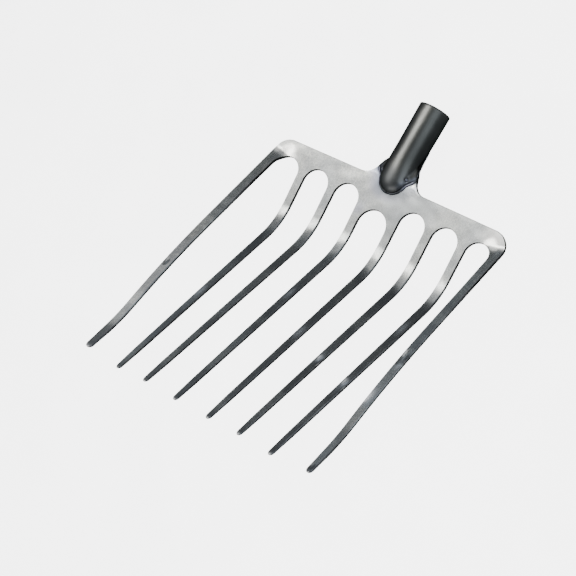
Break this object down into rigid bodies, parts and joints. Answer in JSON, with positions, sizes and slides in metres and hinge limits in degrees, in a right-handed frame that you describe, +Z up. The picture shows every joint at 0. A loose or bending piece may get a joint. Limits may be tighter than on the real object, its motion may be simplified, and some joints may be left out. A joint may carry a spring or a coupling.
{
  "type": "farm fork head",
  "caption": "Steel farm fork head with bent tapering tines, raised outer tines and a welded tube socket for a wooden handle.",
  "frame": {"origin": "on the plate's top face, on the centre line and on the line through the tops of the slots", "axes": "+X across the head to the right of someone who holds the handle and looks toward the tips, +Y from the tips toward the socket, +Z up out of the plate's top face, the side that the tines rise to"},
  "size_m": [0.36, 0.4421, 0.1986],
  "materials": {
    "blade_steel": "tumbled bare steel, cloudy grey, blued by the weld's heat round the socket",
    "socket_steel": "dark oiled steel with a soft shine",
    "weld_steel": "dark blued weld metal"
  },
  "bodies": {
    "root": {"blade": "blade_steel", "socket": "socket_steel", "nose_weld": "weld_steel", "neck_weld_left": "weld_steel", "neck_weld_right": "weld_steel", "plug_weld_left": "weld_steel", "plug_weld_right": "weld_steel"}
  },
  "joints": []
}
